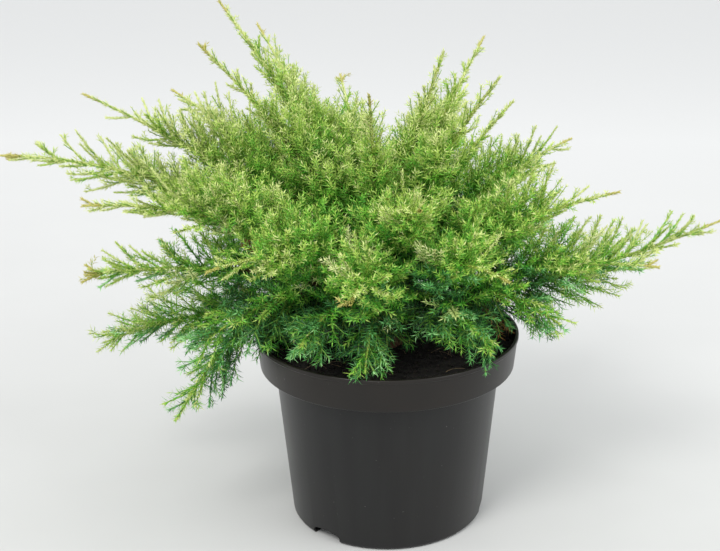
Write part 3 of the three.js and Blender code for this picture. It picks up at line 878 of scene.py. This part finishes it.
# Rough materials coloured by one noise: roughness, noise, stops of colour, and the noise's relief.
GRAINED = {
    # Damp dark peat, nearly black, with brown crumbs.
    "peat": (
        0.95, {"scale": 260, "detail": 6, "roughness": 0.7},
        [(0.35, (9, 7, 6)), (0.55, (22, 17, 13)), (0.75, (52, 40, 30))], (0.5, 0.002),
    ),
    # Thin reddish-brown bark that shreds in upright strips, grey on its ridges.
    "bark": (
        0.88, {"scale": 420, "stretch": (1, 1, 0.12), "detail": 5, "roughness": 0.6},
        [(0.3, (52, 34, 25)), (0.5, (98, 66, 47)), (0.72, (148, 118, 94))], (0.6, 0.0012),
    ),
    # Dry root fibres, brown to straw-coloured along their length.
    "fibre": (0.85, {"scale": 150, "detail": 2}, [(0.35, (70, 56, 42)), (0.65, (142, 122, 92))], None),
}


def grained_material(name):
    roughness, grain, stops, relief = GRAINED[name]
    made, tree, shader = new_material(name, Roughness=roughness)
    value = noise_at(tree, **grain)
    tree.links.new(colour_ramp(tree, value, stops), shader.inputs["Base Color"])
    if relief:
        add_bump(tree, shader, value, *relief)
    return made


def plain_material(name, colour, roughness):
    return new_material(name, Base_Color=linear(*colour), Roughness=roughness)[0]


# Camera, floor and light.
def make_camera():
    data = bpy.data.cameras.new("camera")
    data.sensor_width = SENSOR_WIDTH
    data.lens = FOCAL_PIXELS / IMAGE_WIDTH * SENSOR_WIDTH
    data.shift_x = (IMAGE_WIDTH / 2 - AXIS_PIXEL) / IMAGE_WIDTH
    camera = add_object("camera", data)
    camera.location = CAMERA_PLACE
    camera.rotation_euler = (math.radians(90 - CAMERA_PITCH), 0, 0)
    bpy.context.scene.camera = camera


def area_light(name, place, target, size, watts, colour):
    data = bpy.data.lights.new(name, "AREA")
    data.shape = "DISK"
    data.size = size
    data.energy = watts
    data.color = colour
    lamp = add_object(name, data)
    lamp.location = place
    lamp.rotation_euler = (Vector(target) - Vector(place)).to_track_quat("-Z", "Y").to_euler()


def make_studio():
    """A plain pale floor under soft white light, with painted light that makes it paler far away."""
    bpy.ops.mesh.primitive_plane_add(size=12)
    floor = bpy.context.object
    floor.name = "floor"
    made, tree, shader = new_material("floor", Roughness=0.7)
    near = colour_ramp(tree, noise_at(tree, 3, detail=3), [(0.35, (193, 194, 193)), (0.65, (199, 200, 199))])
    # Painted light: the floor's colour turns paler towards the back.
    far = ranged(tree, measure_along(tree, "Y"), (-0.3, 1.6))
    tree.links.new(mixed(tree, far, near, linear(230, 231, 231)), shader.inputs["Base Color"])
    floor.data.materials.append(made)
    area_light("key", (-0.9, -1.5, 2.1), (0, 0, 0.25), 1.0, 36, (1.0, 0.985, 0.96))
    area_light("fill", (1.6, -0.8, 1.3), (0, 0, 0.2), 1.6, 16, (0.98, 0.99, 1.0))
    world = bpy.data.worlds.new("studio")
    bpy.context.scene.world = world
    world.use_nodes = True
    background = world.node_tree.nodes["Background"]
    background.inputs["Color"].default_value = (0.985, 0.995, 1.0, 1.0)
    background.inputs["Strength"].default_value = 0.97
    bpy.context.scene.view_settings.view_transform = "Standard"


# Pot.
def turned(profile, sides):
    """The rings of points that a profile of (radius, height) points makes, turned about the vertical."""
    angles = np.linspace(0, 2 * np.pi, sides, endpoint=False)
    radius, height = np.array(profile, float).T
    return np.stack([np.outer(radius, np.cos(angles)), np.outer(radius, np.sin(angles)),
                     np.repeat(height[:, None], sides, axis=1)], axis=-1)


def rounded(corners, steps=5):
    """A profile of corners (radius, height, rounding), rounded off."""
    places = np.array(corners, float)[:, :2]
    turns = np.linspace(0, 1, steps + 1)[:, None]
    made = []
    for i, (*_, rounding) in enumerate(corners):
        corner = places[i]
        if rounding == 0:
            made.append(corner)
            continue
        back = unit(places[i - 1] - corner)
        ahead = unit(places[i + 1] - corner)
        half = math.acos(back @ ahead) / 2
        reach = rounding / math.tan(half)
        centre = corner + unit(back + ahead) * rounding / math.sin(half)
        start = corner + back * reach - centre
        end = corner + ahead * reach - centre
        made.extend(centre + unit(start * (1 - turns) + end * turns) * rounding)
    return made


def object_from(name, points, faces):
    mesh = bpy.data.meshes.new(name)
    mesh.from_pydata((np.array(points) * MM).tolist(), [], [list(map(int, face)) for face in faces])
    return add_object(name, mesh)


POT_SIDES = 144
POT_SHARP = 32  # degrees from which an edge isn't smoothed
NOTCH_STEPS = 12


def make_pot(material):
    corners = [
        (0, 0, 0),
        (POT_FOOT_RADIUS, 0, POT_FOOT_ROUND),
        (SHOULDER_RADIUS, SHOULDER_HEIGHT, 1.2),
        (COLLAR_FOOT_RADIUS, SHOULDER_HEIGHT, 1.6),
        (RIM_RADIUS - RIM_BEAD, POT_HEIGHT - RIM_BEAD_HEIGHT, 0.5),
        (RIM_RADIUS, POT_HEIGHT - RIM_BEAD_HEIGHT + 1, 0.5),
        (RIM_RADIUS, POT_HEIGHT, 0.9),
        (RIM_RADIUS - RIM_BEAD - POT_WALL, POT_HEIGHT, 0.5),
        (COLLAR_FOOT_RADIUS - POT_WALL, SHOULDER_HEIGHT + POT_WALL, 1),
        (SHOULDER_RADIUS - POT_WALL, SHOULDER_HEIGHT + POT_WALL, 1),
        (POT_FOOT_RADIUS - POT_WALL, POT_WALL, 2),
        (0, POT_WALL, 0),
    ]
    rings = turned(rounded(corners)[1:-1], POT_SIDES)
    points = [(0, 0, 0), *rings.reshape(-1, 3), (0, 0, POT_WALL)]
    last = len(points) - 1
    faces = [*(1 + ring_faces(len(rings), POT_SIDES))]
    for k in range(POT_SIDES):
        after = (k + 1) % POT_SIDES
        faces += [(0, 1 + after, 1 + k), (last - POT_SIDES + k, last - POT_SIDES + after, last)]
    pot = object_from("pot_shell", points, faces)
    cutters = [notch_block(i) for i in range(NOTCH_COUNT)]
    for cutter in cutters:
        cut = pot.modifiers.new("notch", "BOOLEAN")
        cut.operation = "DIFFERENCE"
        cut.solver = "EXACT"
        cut.object = cutter
    bpy.context.view_layer.update()
    shaped = pot.evaluated_get(bpy.context.evaluated_depsgraph_get())
    pot.data = bpy.data.meshes.new_from_object(shaped)
    pot.modifiers.clear()
    for cutter in cutters:
        bpy.data.objects.remove(cutter)
    for polygon in pot.data.polygons:
        polygon.use_smooth = True
    pot.data.set_sharp_from_angle(angle=math.radians(POT_SHARP))
    pot.data.materials.clear()
    pot.data.materials.append(material)
    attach(pot, "root")
    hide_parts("pot")


def notch_block(index):
    """A drain notch as a block to cut: an arch that runs in from the foot."""
    azimuth = NOTCH_FIRST_AZIMUTH + 360 / NOTCH_COUNT * index
    ahead, aside = polar(azimuth, 1, 0), polar(azimuth + 90, 1, 0)
    half = NOTCH_WIDTH / 2
    spring = NOTCH_HEIGHT * NOTCH_SPRING
    turns = np.linspace(0, np.pi, NOTCH_STEPS + 1)
    across = np.append([-half, half], half * np.cos(turns))
    height = np.append([-1, -1], spring + (NOTCH_HEIGHT - spring) * np.sin(turns))
    arch = np.outer(across, aside) + np.outer(height, UP)
    ends = [arch + ahead * (POT_FOOT_RADIUS + depth) for depth in (-NOTCH_DEPTH, NOTCH_DEPTH)]
    count = len(arch)
    faces = [range(count)[::-1], range(count, 2 * count), *ring_faces(2, count)]
    return object_from("notch", np.concatenate(ends), faces)


# Peat. Its top lies a little under its level, and lumps and grain stand over that.
PEAT_RINGS = 44
PEAT_SIDES = 132
PEAT_GAP = 0.5
PEAT_UNDER = 0.9
LUMP_HEIGHT = 1.7
LUMP_SCALE = 0.09
GRAIN_HEIGHT = 0.5
GRAIN_SCALE = 0.6
CRUMB_COUNT = 1500
CRUMB_SIZE = (0.5, 1.8)
CRUMB_SPREAD = 0.97  # share of the filling's radius on which crumbs lie
CRUMB_POWER = 3  # the higher, the more of them are small
CRUMB_STRETCH = (0.6, 1.3)
CRUMB_ROUGH = 0.25
CRUMB_LIFT = (-0.6, 0.9)  # over the peat's level, and more for its size
FIBRE_COUNT = 70
FIBRE_STEPS = 7
FIBRE_LENGTH = (8, 24)
FIBRE_RADIUS = 0.24
FIBRE_LIFT = 1.2  # over the peat's mean level
FIBRE_BEND = 0.5
FIBRE_ARCH = (0.02, 0.16)
FIBRE_TAPER = 0.5
FIBRE_INNER = 0.05  # share of the area, in its middle, without them


def make_peat(material):
    """The filling's rough top, with crumbs and fine root fibres."""
    draw = np.random.default_rng(FINE_SEED + 1)
    up_collar = (PEAT_LEVEL - SHOULDER_HEIGHT) / (POT_HEIGHT - RIM_BEAD_HEIGHT - SHOULDER_HEIGHT)
    radius = mix(COLLAR_FOOT_RADIUS, RIM_RADIUS - RIM_BEAD, up_collar) - POT_WALL - PEAT_GAP
    points = []
    for i in range(PEAT_RINGS + 1):
        for k in range(PEAT_SIDES):
            x, y, _ = polar(360 * k / PEAT_SIDES, radius * i / PEAT_RINGS, 0)
            lumps = noise.fractal(Vector((x, y, 0)) * LUMP_SCALE, 0.8, 2.1, 4)
            grain = noise.noise(Vector((x, y, 40)) * GRAIN_SCALE)
            points.append((x, y, PEAT_LEVEL - PEAT_UNDER + LUMP_HEIGHT * lumps + GRAIN_HEIGHT * grain))
    facing_up = ring_faces(PEAT_RINGS + 1, PEAT_SIDES)[:, [0, 3, 2, 1]]
    mesh_piece("peat_top", np.array(points), facing_up, material, ["peat"], True)
    crumbs(draw, radius, material)
    fibres(draw, radius, grained_material("fibre"))


def fibres(draw, radius, material):
    """Fine roots that lie on the peat, each curved along the ground and lifted a little in its middle."""
    shares = np.linspace(0, 1, FIBRE_STEPS + 1)[:, None]
    lines = []
    for _ in range(FIBRE_COUNT):
        angle, turn = draw.uniform(0, 2 * math.pi, 2)
        out = (radius - FIBRE_LENGTH[1]) * math.sqrt(draw.uniform(FIBRE_INNER, 1))
        length = draw.uniform(*FIBRE_LENGTH)
        start = polar(math.degrees(angle), out, PEAT_LEVEL + FIBRE_LIFT)
        ahead = np.array([math.cos(turn), math.sin(turn), 0])
        bend = np.array([-math.sin(turn), math.cos(turn), 0]) * draw.uniform(-FIBRE_BEND, FIBRE_BEND)
        arch = UP * draw.uniform(*FIBRE_ARCH) * 4 * shares * (1 - shares)
        lines.append(start + length * (ahead * shares + bend * shares**2 + arch))
    lines = np.array(lines)
    radii = np.full(lines.shape[:2], FIBRE_RADIUS) * np.linspace(1, FIBRE_TAPER, FIBRE_STEPS + 1)
    points, faces = tube_skins(lines, radii, 4)
    mesh_piece("peat_fibres", points, faces, material, ["peat"])


def crumbs(draw, radius, material):
    """Crumbs of peat, most of them small, sunk a little into the filling's top."""
    count = CRUMB_COUNT
    out = radius * CRUMB_SPREAD * np.sqrt(draw.uniform(0, 1, count))
    angle = draw.uniform(0, 2 * np.pi, count)
    size = mix(*CRUMB_SIZE, draw.uniform(0, 1, count) ** CRUMB_POWER)
    height = PEAT_LEVEL + CRUMB_LIFT[0] + CRUMB_LIFT[1] * size
    centre = np.stack([out * np.cos(angle), out * np.sin(angle), height], 1)
    ball = bmesh.new()
    bmesh.ops.create_icosphere(ball, subdivisions=1, radius=1)
    shape = np.array([vertex.co for vertex in ball.verts])
    corners = np.array([[vertex.index for vertex in face.verts] for face in ball.faces])
    ball.free()
    stretch = draw.uniform(*CRUMB_STRETCH, (count, 1, 3)) * size[:, None, None]
    rough = 1 + stray(CRUMB_ROUGH, (count, len(shape), 1), draw)
    points = centre[:, None] + shape[None] * rough * stretch
    faces = for_each(corners, count, len(shape))
    mesh_piece("peat_crumbs", points.reshape(-1, 3), faces, material, ["peat"])


# Trunk and boughs.
TRUNK_SIDES = 56
TRUNK_STEPS = 60
TRUNK_END = (0.98, 0.9, 0.7, 0.02)  # radii of the trunk's last rings, as shares
BOUGH_SIDES = 14
BOUGH_STEPS = 18
BOUGH_LAP = 0.01  # share of a limb by which its bough runs on into its stem
BARK_RELIEF = 0.07  # share of the radius
STRIP_SCALES = (0.55, 0.55, 0.07)
STRIP_SPREAD = 4  # how far out the strips are laid, so that they differ all round a limb


def make_bark(material):
    """The trunk and its boughs, with bark in shallow upright strips."""
    heights = np.linspace(PEAT_LEVEL + GAP, TRUNK_TOP, TRUNK_STEPS)
    share = (heights - PEAT_LEVEL) / (TRUNK_TOP - PEAT_LEVEL)
    flare = np.maximum(0, 1 - (heights - PEAT_LEVEL) / FLARE_HEIGHT)
    radius = mix(TRUNK_FOOT_RADIUS, TRUNK_TOP_RADIUS, share) + FLARE_RADIUS * flare**2
    radius[-len(TRUNK_END):] *= TRUNK_END
    around = np.linspace(0, 2 * np.pi, TRUNK_SIDES, False)
    lobes = 1 + FLARE_LOBE_DEPTH * flare[:, None] * np.cos(FLARE_LOBES * around)
    groups = [(trunk_centre(heights), radius[:, None] * lobes)]
    for limb in limbs:
        t = np.linspace(0, limb.bare_share + BOUGH_LAP, BOUGH_STEPS)
        groups.append((limb.point(t), np.repeat(limb.radius(t)[:, None], BOUGH_SIDES, axis=1)))
    skins = []
    first = 0
    for line, radii in groups:
        steps, sides = radii.shape
        points, faces = tube_skins(line[None], np.ones((1, steps)), sides)
        points = points.reshape(steps, sides, 3)
        out = points - line[:, None]
        for i in range(steps):
            for k in range(sides):
                place = (points[i, k] + out[i, k] * STRIP_SPREAD) * STRIP_SCALES
                strip = noise.fractal(Vector(place), 0.7, 2.2, 4)
                points[i, k] = line[i] + out[i, k] * radii[i, k] * (1 + BARK_RELIEF * strip)
        skins.append((points.reshape(-1, 3), faces + first))
        first += steps * sides
    points, faces = map(np.concatenate, zip(*skins))
    names = ["trunk"] + [f"bough_{limb.name}" for limb in limbs if not limb.leafy]
    mesh_piece("trunk_and_boughs", points, faces, material, names, True)


# Foliage.
MOST_NEEDLES = 95000  # in one piece
NEEDLE_ROUGHNESS = 0.42
ROUND_SIDES = 6
FINE_SIDES = 3


def make_foliage():
    draw = np.random.default_rng(FINE_SEED)
    masses = [f"foliage_{limb.name}" for limb in limbs]
    stem = stems()
    twigs = together(main_twigs(), fill_twigs(stems(FILL_FIRST), draw))
    deal_hues(twigs, draw)
    stem_sprays = side_shoots(stem, SPRAY, STEM_SPRAYS_THINNED, draw)
    sprays = together(stem_sprays, side_shoots(twigs, SPRAY, TWIG_SPRAYS_THINNED, draw))
    sprays.glow = sprays.glow + draw.normal(0, SPRAY_PLAY, len(sprays.glow))
    ends = together(*(side_shoots(hosts, TWIGLET, TWIGLETS_THINNED, draw) for hosts in (stem, sprays)))
    make_needles([stem, twigs, sprays, ends], masses, draw)
    inner = stem_part(stem, 0, YOUNG_FROM)
    outer = stem_part(stem, YOUNG_FROM, 1)
    make_twigs("stems_1", inner, ROUND_SIDES, ("stem_bark", (104, 80, 52), 0.85), masses)
    make_twigs("young_stems_1", outer, ROUND_SIDES, ("young_bark", (146, 160, 66), 0.75), masses)
    make_twigs("side_twigs_1", twigs, FINE_SIDES, ("twig_bark", (96, 132, 48), 0.75), masses)
    make_twigs("sprays_1", sprays, FINE_SIDES, ("green_twig", (106, 152, 54), 0.7), masses)


def stem_part(stem, low, high):
    """The stretch of each stem between two shares of its length, with the radii that it has there."""
    lines = stem.lines[:, round(low * STEM_STEPS):round(high * STEM_STEPS) + 1]
    foot, tip = (mix(stem.foot, stem.tip, share**TWIG_TAPER_POWER) for share in (low, high))
    return replace(stem, lines=lines, foot=foot, tip=tip)


def make_needles(groups, masses, draw):
    """The needles of all shoots, sorted into one material for each hue and tone."""
    high = np.array([limb.line[-1, 2] > TAN_HEIGHT for limb in limbs])
    tan_limbs = high & (draw.uniform(0, 1, len(limbs)) < TAN_SHARE)
    grown = [(shoots, needles_on(shoots, *form, draw)) for shoots, form in zip(groups, WHORLS)]
    grown += [(shoots, scales_on(shoots, draw)) for shoots in groups[:2]]
    rows = []
    for shoots, (*leaves, which, share) in grown:
        tone = tones(shoots, which, share, leaves[0], draw)
        rows.append((*leaves, tone, hues_of(shoots, which, share, tan_limbs)))
    *leaves, tone, hue = (np.concatenate(column) for column in zip(*rows))
    for number, (hue_name, colours) in enumerate(HUES.items()):
        for level, colour in enumerate(colours):
            kept = np.flatnonzero((hue == number) & ((tone * len(colours)).astype(int) == level))
            # Each level of a hue is a darker or lighter copy of it: painted shade and painted light.
            material = plain_material(f"needles_{hue_name}_{level + 1}", colour, NEEDLE_ROUGHNESS)
            lots = math.ceil(len(kept) / MOST_NEEDLES)
            for lot in range(lots):
                part = kept[len(kept) * lot // lots:len(kept) * (lot + 1) // lots]
                points, faces = needle_kites(*(values[part] for values in leaves))
                mesh_piece(f"{material.name}_{lot + 1}", points, faces, material, masses)


def make_twigs(name, shoots, sides, bark, masses):
    taper = np.linspace(0, 1, shoots.lines.shape[1]) ** TWIG_TAPER_POWER
    radii = mix(shoots.foot[:, None], shoots.tip[:, None], taper)
    points, faces = tube_skins(shoots.lines, radii, sides)
    mesh_piece(name, points, faces, plain_material(*bark), masses, sides > FINE_SIDES)


make_camera()
make_studio()
make_pot(plastic_material())
make_peat(grained_material("peat"))
make_bark(grained_material("bark"))
make_foliage()
